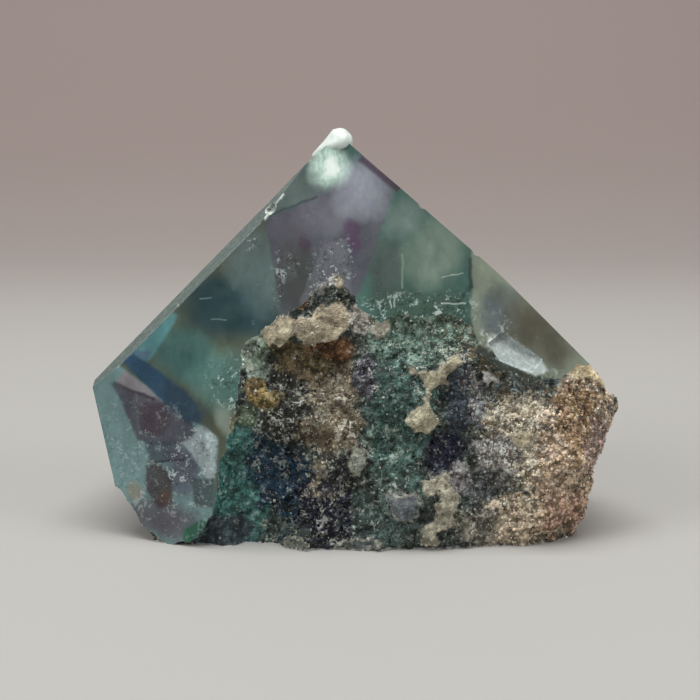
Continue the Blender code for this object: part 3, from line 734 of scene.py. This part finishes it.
def fluorite_colour(start, place):
    """The colour of the clear stone at each place, as bands, clouds and small flaws, with a painted
    reflection high in the middle and pale paint at the cleaved flake that is partly painted reflection.
    """
    split = place.node("ShaderNodeSeparateXYZ", None, {"Vector": place}, "X").output.node.outputs
    x, y, z = (Wire(place.tree, split[axis]) for axis in "XYZ")
    sunk = y + 4.0 + (64.7 - z) * 0.344
    wide = place.cloud(7.0, 2.0) - 0.5
    small = place.moved(11, 3, 7).cloud(1.8, 3.0) - 0.5
    soft = Front(x + sunk * 0.35 + wide * 3.6 + small * 1.4, z - sunk * 0.25 + wide * 2.6 - small * 1.4)
    crisp = Front(x + sunk * 0.35 + wide * 0.9 + small * 0.6, z - sunk * 0.25 + wide * 0.7 - small * 0.6)
    left = 1 - crisp.beside((-10.6, 36.0), (-14.0, 53.4)).step(-0.3, 0.3)
    lower_left = crisp.beside((-36.5, 27.4), (-23.0, 19.2)).step(-0.4, 0.4) * (
        1 - crisp.beside((-20.2, 0.0), (-20.2, 24.0)).step(-0.4, 0.4))
    right = crisp.beside((1.6, 40.0), (4.6, 54.0)).step(0.0, 0.8) * (1 - left)
    parts = {
        "left": left, "middle": 1 - left, "right": right, "corner": lower_left,
        "beyond": right * crisp.beside((20.0, 42.0), (20.0, 50.0)).step(-0.3, 0.3),
    }
    colour = None
    for _, where, shape, strength, tone in CLEAR_ZONES:
        share = parts.get(where)
        if shape:
            inside = crisp.inside(shape, 0.35) if isinstance(shape, list) else soft.spot(*shape, 0.9)
            share = share * inside if share else inside
        colour = (share * strength).paint(colour, tone) if colour else tone
    # Slow drifts of light and dark, in streaks that lean with the growth of the stone.
    leaning = place.moved(turn=(0.0, 0.7, 0.0), scale=(1.0, 1.0, 0.45))
    drift = leaning.cloud(3.4, 4.0, 0.55)
    mist = place.moved(5, 1, 2).cloud(4.4, 4.0, 0.6).step(0.42, 0.75)
    colour = colour.shaded(drift.step(0.25, 0.75) * 0.42 + 0.80)
    colour = (mist * 0.16).paint(colour, srgb(136, 156, 150))
    for start_at, end_at, width, strength, tone in CLEAR_LINES:
        colour = (crisp.line(start_at, end_at, width) * strength).paint(colour, tone)
    crazed = place.cloud(2.4, 3.0).step(0.58, 0.72) * 0.2
    for where, oval_at, strength in CRAZED:
        share = soft.spot(*oval_at, 0.9) * strength
        crazed = crazed.math("MAXIMUM", crazed, share * parts[where] if where in parts else share)
    patchy = place.moved(8, 8, 1).cloud(1.6, 3.0).step(0.35, 0.6)
    threads = place.threads(1.9, 0.07, 0.56)
    finer = place.moved(2, 2, 9, turn=(1.0, 0.4, 0.2)).threads(0.8, 0.08, 0.56)
    threads = threads.math("MAXIMUM", threads, finer) * crazed
    chance, heart = place.grains(0.32)
    dust = chance.step(0.8, 0.98) * (1 - heart.step(0.1, 0.5))
    dust = dust * crazed * patchy
    colour = (threads * 0.8).paint(colour, srgb(196, 208, 206))
    colour = (dust * 0.85).paint(colour, srgb(210, 220, 218))
    shade = place.moved(6, 6, 3).cloud(0.8, 3.0, 0.6).step(0.3, 0.5)
    colour = colour.shaded(1 - crazed * (1 - shade) * 0.5)
    # Along the cleaved flake the polished face is painted pale, partly as the flake's fractured white and
    # partly as painted reflection; the white spot beside it is a painted highlight.
    flake_rim_and_sheen = crisp.inside([(22.5, 33.8), (25.0, 35.3), (31.6, 30.6), (32.9, 28.6), (30.4, 28.0),
        (24.9, 30.8)], 0.3)
    colour = flake_rim_and_sheen.paint(colour, (threads * 0.7).paint(srgb(172, 182, 180), srgb(232, 236, 234)))
    colour = (soft.spot((23.2, 33.6), (0.9, 1.5), -20, 0.9) * patchy).paint(colour, srgb(236, 240, 238))
    # The bruised tip: white sugar that rays out downwards, and a white sliver on the left slope.
    bruise = soft.spot((-3.5, 61.4), (3.2, 3.5), 0, 0.8)
    sugar = place.moved(4, 4, 4, scale=(1.6, 1.0, 0.7)).cloud(0.8, 4.0).step(0.3, 0.62)
    colour = (bruise * (sugar * 0.5 + 0.5)).paint(colour, srgb(196, 222, 210))
    colour = (soft.spot((-3.4, 60.9), (1.3, 1.7), -20, 0.9) * 0.95).paint(colour, srgb(240, 250, 244))
    sliver = crisp.line((-14.0, 53.8), (-11.5, 56.9), 0.7)
    colour = sliver.paint(colour, srgb(232, 236, 232))
    cloudy = bruise * 0.9 + threads * 0.8 + dust + sliver + flake_rim_and_sheen
    return colour.shaded(place.cloud(0.6, 3.0, 0.6) * 0.20 + 0.90), cloudy.math("MINIMUM", cloudy, 1.0)


polished, start, place, sink = new_material("polished_fluorite")
colour, cloudy = fluorite_colour(start, place)
scratches = place.moved(turn=(0.3, 0.2, 0.9), scale=(1.0, 1.0, 9.0)).cloud(2.5, 4.0, 0.7)
ripple = start.node("ShaderNodeBump", None, {"Strength": 0.10, "Distance": 0.0004, "Height": scratches})
scratched = scratches.step(0.55, 0.8) * 0.12 + 0.06
gloss = {"Base Color": colour, "Roughness": scratched, "IOR": IOR, "Normal": ripple}
clear = start.node("ShaderNodeBsdfPrincipled", None, {**gloss, "Transmission Weight": 0.45})
milky = start.node("ShaderNodeBsdfPrincipled", None, gloss)
shader = start.node("ShaderNodeMixShader", None, {0: cloudy, 1: clear, 2: milky})
water = start.node("ShaderNodeVolumeAbsorption", None, {"Color": WATER_COLOUR, "Density": WATER_DENSITY})
finish_with(sink, shader, water)


def skin_material(name, roughness):
    """Rough fluorite: the painted tone broken into small square crystals, light and dark, partly their own
    tone and partly painted shade, painted highlights and painted glints.
    """
    material, start, place, sink = new_material(name)
    tone = start.node("ShaderNodeAttribute", {"attribute_name": "tone"}, None, "Color")
    sparkle = Wire(tone.tree, tone.output.node.outputs["Alpha"])
    crust = start.node("ShaderNodeAttribute", {"attribute_name": "crust"}, None, "Fac")
    wobble = place.cloud(1.2, 2.0)
    bent = place.node("ShaderNodeVectorMath", {"operation": "ADD"}, {0: place, 1: wobble})
    coarse, coarse_heart = bent.grains(0.95, True)
    fine, fine_heart = bent.moved(2, 5, 1, turn=(0.4, 0.7, 0.2)).grains(0.36, True)
    broad = place.moved(3, 9, 1).cloud(2.8, 5.0, 0.68)
    pit_shade = place.moved(1, 1, 7).cloud(1.1, 4.0, 0.65).step(0.34, 0.54)
    rarity = 0.65 - sparkle * 0.13
    threads = place.threads(1.7, 0.11, rarity)
    finer = place.moved(2, 2, 9, turn=(1.0, 0.4, 0.2)).threads(0.9, 0.10, rarity)
    threads = threads.math("MAXIMUM", threads, finer)
    contrast = 1 - crust * 0.45
    blotch = place.moved(4, 6, 2).cloud(1.4, 3.0, 0.6).step(0.36, 0.66)
    # light: the tone made darker and lighter in clouds and crystal by crystal. This is partly the grains' own
    # varied tone and partly painted light and shade: dark in pits and gaps, lighter elsewhere.
    light = (broad.step(0.32, 0.68) * 1.0 + 0.35) * (coarse * 0.5 + 0.75)
    light = light * (fine * 0.3 + 0.85) * (pit_shade * 0.75 + 0.25)
    light = light * (blotch * 1.1 + 0.5)
    split = place.node("ShaderNodeSeparateXYZ", None, {"Vector": place}, "X").output.node.outputs
    across, up = (Wire(place.tree, split[axis]) for axis in "XZ")
    rock = (across + up * ROCK_LEAN).step(*ROCK_BORDER) * (1 - crust)
    light = light * contrast + (1 - contrast) * (fine * 0.4 + 0.8)
    grain = (coarse * 0.9 + 0.45) * (fine * 0.9 + 0.5)
    light = light * (rock * (grain - 1) + 1)
    colour = tone.shaded(light.math("MINIMUM", light, rock * 0.4 + 1.2))
    pale = (place.cloud(2.0, 2.0) * 0.6 + 0.35).paint(tone.shaded(1.6), srgb(222, 226, 212))
    gold = place.moved(7, 2, 3).cloud(1.3, 3.0).step(0.45, 0.62) * rock
    colour = (gold * 0.4).paint(colour, srgb(150, 122, 66))
    # Where light runs above 1 the colour turns pale: painted highlights.
    colour = ((light - 1.0).step(0.0, 1.6) * 0.7).paint(colour, pale)
    colour = (threads * (0.45 + sparkle * 0.5)).paint(colour, pale)
    clump = place.moved(5, 7, 2).cloud(2.2, 3.0).step(0.42, 0.60)
    # Painted glints: single small crystals painted near white, in clumps, more where the skin sparkles.
    painted_glint = (fine.step(0.86, 0.94) * (1 - fine_heart.step(0.2, 0.5))) * sparkle * (clump * 0.85 + 0.15)
    colour = (painted_glint * 0.8).paint(colour, srgb(214, 216, 210))
    height = coarse * 0.6 + fine * 0.45 + threads * 0.5
    height = height - coarse_heart * 0.4 - fine_heart * 0.3 + broad * 0.8
    bump = start.node("ShaderNodeBump", None, {"Strength": 1.0, "Distance": 0.0005, "Height": height})
    rough = roughness + crust * 0.25 - painted_glint * 0.25
    shader = start.node(
        "ShaderNodeBsdfPrincipled", None,
        {"Base Color": colour, "Roughness": rough, "IOR": IOR, "Normal": bump},
    )
    water = start.node("ShaderNodeVolumeAbsorption", None, {"Color": WATER_COLOUR, "Density": WATER_DENSITY})
    finish_with(sink, shader, water)
    return material


def frosted_material(name, tone, pale, roughness):
    """Ground or cleaved fluorite: one tone with paler scuffs, half dull."""
    material, start, place, sink = new_material(name)
    scuff = place.cloud(0.8, 5.0, 0.7).step(0.42, 0.62)
    colour = (scuff * 0.7).paint(tone, pale).shaded(place.moved(5, 5, 5).cloud(0.3, 3.0) * 0.5 + 0.75)
    bump = start.node("ShaderNodeBump", None, {"Strength": 0.4, "Distance": 0.0002, "Height": scuff})
    shader = start.node(
        "ShaderNodeBsdfPrincipled", None,
        {
            "Base Color": colour, "Roughness": roughness, "IOR": IOR, "Normal": bump,
            "Transmission Weight": 0.25,
        },
    )
    water = start.node("ShaderNodeVolumeAbsorption", None, {"Color": WATER_COLOUR, "Density": WATER_DENSITY})
    finish_with(sink, shader, water)
    return material


stone_mesh.materials.append(skin_material("natural_skin", 0.45))
stone_mesh.materials.append(polished)
stone_mesh.materials.append(frosted_material("sawn_base", srgb(70, 92, 84), srgb(110, 124, 116), 0.5))
stone_mesh.materials.append(frosted_material("ground_edge", srgb(100, 118, 114), srgb(138, 146, 142), 0.4))
# The cleaved flake is very pale: partly its fractured white, partly painted reflection of the overhead light.
stone_mesh.materials.append(frosted_material("cleaved_flake", srgb(180, 194, 192), srgb(226, 236, 233), 0.18))
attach(stone, "root")
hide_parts("fluorite_point")

# The druse. Small square crystals grown on the natural skin, and the coarser tan grains of the
# parent rock on the right. They sit sunk into the skin and catch the light one by one. Some are
# painted pale as glints, and the tones of the rest are painted lighter and darker in clumps, as
# painted light on ridges and painted shade in cracks.
CRYSTAL_SIZES = (0.14, 0.46)
GRAIN_SIZES = (0.30, 0.75)
GRAIN_TINTS = [srgb(160, 128, 66), srgb(186, 168, 124), srgb(168, 118, 92), srgb(205, 200, 186),
srgb(92, 78, 56)]
PER_BATCH = 250
CRYSTALS = 15500
GRAINS = 3500
dice = random.Random(11)


def is_matrix(p):
    return p.x + 0.35 * p.z > 27


def below_polish(place, clearance):
    """True where a place is under every ground face by more than the clearance."""
    return all((place - point).dot(normal) < -clearance for (point, normal, _), _ in flats)


def inside_box(place, margin):
    return all(a + margin < c < b - margin for c, a, b in zip(place, low, high))


def scattered(name, count, sizes, wanted, grow):
    """Grows many small shapes on the rough skin, a batch at a time, and joins them as one mesh."""
    spots = [spot for spot in rough_faces if wanted(spot[0] / MM)]
    shares = [area for _, _, area in spots]
    mesh = bpy.data.meshes.new(name)
    joined = bmesh.new()
    for _ in range(count // PER_BATCH):
        batch = bmesh.new()
        layer = batch.verts.layers.float_color.new("tone")
        for centre, normal, _ in dice.choices(spots, weights=shares, k=PER_BATCH):
            size = (sizes[0] + (sizes[1] - sizes[0]) * dice.random() ** 2.2) * MM
            if not inside_box(centre, 0.9 * size) or not below_polish(centre, 0.7 * size):
                continue
            colour, sparkle, depth, crust, _ = skin_look(centre / MM)
            if dice.random() > (0.25 + 0.75 * depth) * (1 - 0.85 * crust):
                continue
            lean = Euler((dice.gauss(0, 0.5), dice.gauss(0, 0.5), dice.uniform(0, math.pi)))
            turn = normal.to_track_quat("Z", "Y").to_matrix() @ lean.to_matrix()
            matrix = Matrix.Translation(centre) @ turn.to_4x4()
            clump = smooth_step(noise.noise(centre / MM / 2.2 + Vector((5, 5, 5))), 0.0, 0.35)
            painted_ridge_light = smooth_step(noise.noise(centre / MM / 0.9), -0.35, 0.35)
            if is_matrix(centre / MM):
                colour = blend(colour, dice.choice(GRAIN_TINTS), dice.uniform(0.0, 0.4))
            # Some crystals are painted pale as glints. The rest are made darker and lighter at random and in
            # clumps, as painted light on ridges and painted shade in cracks.
            if dice.random() < 0.36 * sparkle * (0.1 + clump) * (0.4 + painted_ridge_light):
                colour = blend(colour, srgb(206, 212, 200), dice.uniform(0.05, 0.7))
            else:
                light = (0.55 + 0.6 * dice.random()) * (0.35 + 1.25 * painted_ridge_light)
                colour = tuple(c * min(light, 1.2) for c in colour)
                colour = blend(colour, srgb(190, 186, 168), 0.35 * max(0.0, light - 1.0))
            for v in grow(batch, size, matrix):
                v[layer] = (*colour, sparkle)
        batch.to_mesh(mesh)
        batch.free()
        joined.from_mesh(mesh)
    joined.to_mesh(mesh)
    joined.free()
    return in_scene(name, mesh)


def cube_crystal(batch, size, matrix):
    return bmesh.ops.create_cube(batch, size=size, matrix=matrix)["verts"]


def blunt_grain(batch, size, matrix):
    made = bmesh.ops.create_icosphere(batch, subdivisions=1, radius=size * 0.5, matrix=matrix)["verts"]
    for v in made:
        v.co = matrix.translation + (v.co - matrix.translation) * dice.uniform(0.75, 1.2)
    return made


crystal_material, start, place, sink = new_material("druse_crystals")
tone = start.node("ShaderNodeAttribute", {"attribute_name": "tone"}, None, "Color")
colour = tone.shaded(place.cloud(0.25, 3.0) * 0.5 + 0.75)
shader = start.node("ShaderNodeBsdfPrincipled", None, {"Base Color": colour, "Roughness": 0.22, "IOR": IOR})
finish_with(sink, shader)
druse = scattered("druse", CRYSTALS, CRYSTAL_SIZES, lambda p: True, cube_crystal)
grit = scattered("grit", GRAINS, GRAIN_SIZES, is_matrix, blunt_grain)
for piece in (druse, grit):
    piece.data.materials.append(crystal_material)
    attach(piece, "root")
    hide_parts("fluorite_point")

# The tip. The very end of the point is bruised to a small, milky, rounded nub. Its milky white
# also stands in for the bright highlight at the apex: partly painted highlight.
NUB_MIDDLE = Vector((-2.0, -2.0, 65.2)) * MM
NUB_HALF = Vector((2.5, 2.8, 2.0)) * MM
NUB_TILT = -24
nub_bm = bmesh.new()
bmesh.ops.create_icosphere(nub_bm, subdivisions=4, radius=1)
turn = Matrix.Rotation(math.radians(NUB_TILT), 4, "Y")
for v in nub_bm.verts:
    lump = 1 + 0.12 * noise.noise(v.co * 1.3) + 0.02 * noise.noise(v.co * 4)
    tail = max(0.0, -v.co.x)
    sag = 1 + (1.4 + 1.6 * tail) * max(0.0, v.co.y) if v.co.z < 0 else 1.0
    wide, deep = v.co.x * (1 + 0.9 * tail), v.co.y * (1 - 0.3 * tail)
    v.co = Vector((wide, deep, v.co.z * sag * (1 - 0.5 * tail) - 0.25 * tail))
    v.co = NUB_MIDDLE + turn @ (v.co * NUB_HALF * lump)
    v.co = Vector(min(max(c, a), b) for c, a, b in zip(v.co, low, high))
for face in nub_bm.faces:
    face.smooth = True
nub_mesh = mesh_from(nub_bm, "tip_nub")
nub = in_scene("tip_nub", nub_mesh)
milky, start, place, sink = new_material("milky_tip_and_highlight")
milk_and_highlight = place.cloud(1.2, 3.0).paint(srgb(196, 212, 206), srgb(232, 238, 234))
shader = start.node(
    "ShaderNodeBsdfPrincipled", None,
    {
        "Base Color": milk_and_highlight, "Roughness": 0.3, "IOR": IOR, "Subsurface Weight": 0.6,
        "Subsurface Radius": (0.002, 0.002, 0.002), "Subsurface Scale": 1.0,
    },
)
finish_with(sink, shader)
nub_mesh.materials.append(milky)
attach(nub, "root")
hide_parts("fluorite_point")

# The studio: a pale floor that curves up behind, soft light from above and the front, and the
# photo's view of the stone.
CAMERA_AIM = Vector((0, 0, 29.4)) * MM
CAMERA_AWAY = 257 * MM
CAMERA_DOWN = 12.8
LENS = 77.14
SWEEP_START = 0.26
SWEEP_RADIUS = 0.22
FLOOR_HALF = 1.2
WALL_HEIGHT = 0.7

floor_bm = bmesh.new()
floor_middle = Matrix.Translation((0, SWEEP_START - FLOOR_HALF, 0))
bmesh.ops.create_grid(floor_bm, x_segments=1, y_segments=1, size=FLOOR_HALF, matrix=floor_middle)
back_edge = [e for e in floor_bm.edges if all(v.co.y > SWEEP_START - 0.01 for v in e.verts)]
spun = bmesh.ops.spin(
    floor_bm, geom=back_edge + list({v for e in back_edge for v in e.verts}),
        cent=(0, SWEEP_START, SWEEP_RADIUS),
    axis=(1, 0, 0), angle=math.pi / 2, steps=24,
)
last = [part for part in spun["geom_last"] if isinstance(part, bmesh.types.BMEdge)]
wall = bmesh.ops.extrude_edge_only(floor_bm, edges=last)
rising = [part for part in wall["geom"] if isinstance(part, bmesh.types.BMVert)]
bmesh.ops.translate(floor_bm, verts=rising, vec=(0, 0, WALL_HEIGHT))
bmesh.ops.recalc_face_normals(floor_bm, faces=floor_bm.faces)
for face in floor_bm.faces:
    face.smooth = True
floor_mesh = mesh_from(floor_bm, "floor")
floor = in_scene("floor", floor_mesh)
pale, start, place, sink = new_material("pale_floor")
depth = start.node("ShaderNodeSeparateXYZ", None, {"Vector": place}, "Y")
tone = depth.step(100.0, 420.0).paint((0.41, 0.405, 0.385), (0.265, 0.215, 0.20))
shader = start.node("ShaderNodeBsdfPrincipled", None, {"Base Color": tone, "Roughness": 0.7})
finish_with(sink, shader)
floor_mesh.materials.append(pale)

camera_data = bpy.data.cameras.new("camera")
camera_data.lens = LENS
camera_data.clip_start = 0.01
camera = in_scene("camera", camera_data)
down = math.radians(CAMERA_DOWN)
camera.location = CAMERA_AIM + Vector((0, -math.cos(down), math.sin(down))) * CAMERA_AWAY
camera.rotation_euler = (math.radians(90) - down, 0, 0)
bpy.context.scene.camera = camera


def soft_light(name, place, aim, size, power):
    """A rectangular softbox that faces a point."""
    lamp = bpy.data.lights.new(name, "AREA")
    lamp.shape = "RECTANGLE"
    lamp.size, lamp.size_y = size
    lamp.energy = power
    light = in_scene(name, lamp)
    light.location = Vector(place)
    light.rotation_mode = "QUATERNION"
    light.rotation_quaternion = (Vector(place) - Vector(aim)).to_track_quat("Z", "Y")
    return light


soft_light("overhead", (0.0, -0.05, 0.75), (0, 0, 0.03), (0.6, 0.4), 5.4)
soft_light("front_left", (-0.60, -0.38, 0.5), (0, 0, 0.03), (0.35, 0.35), 2.8)
soft_light("front_right", (0.64, -0.24, 0.42), (0, 0, 0.03), (0.3, 0.3), 1.4)

world = bpy.data.worlds.new("studio")
bpy.context.scene.world = world
world.use_nodes = True
world.node_tree.nodes["Background"].inputs["Color"].default_value = (0.62, 0.60, 0.58, 1.0)
world.node_tree.nodes["Background"].inputs["Strength"].default_value = 0.38
bpy.context.scene.view_settings.view_transform = "Standard"
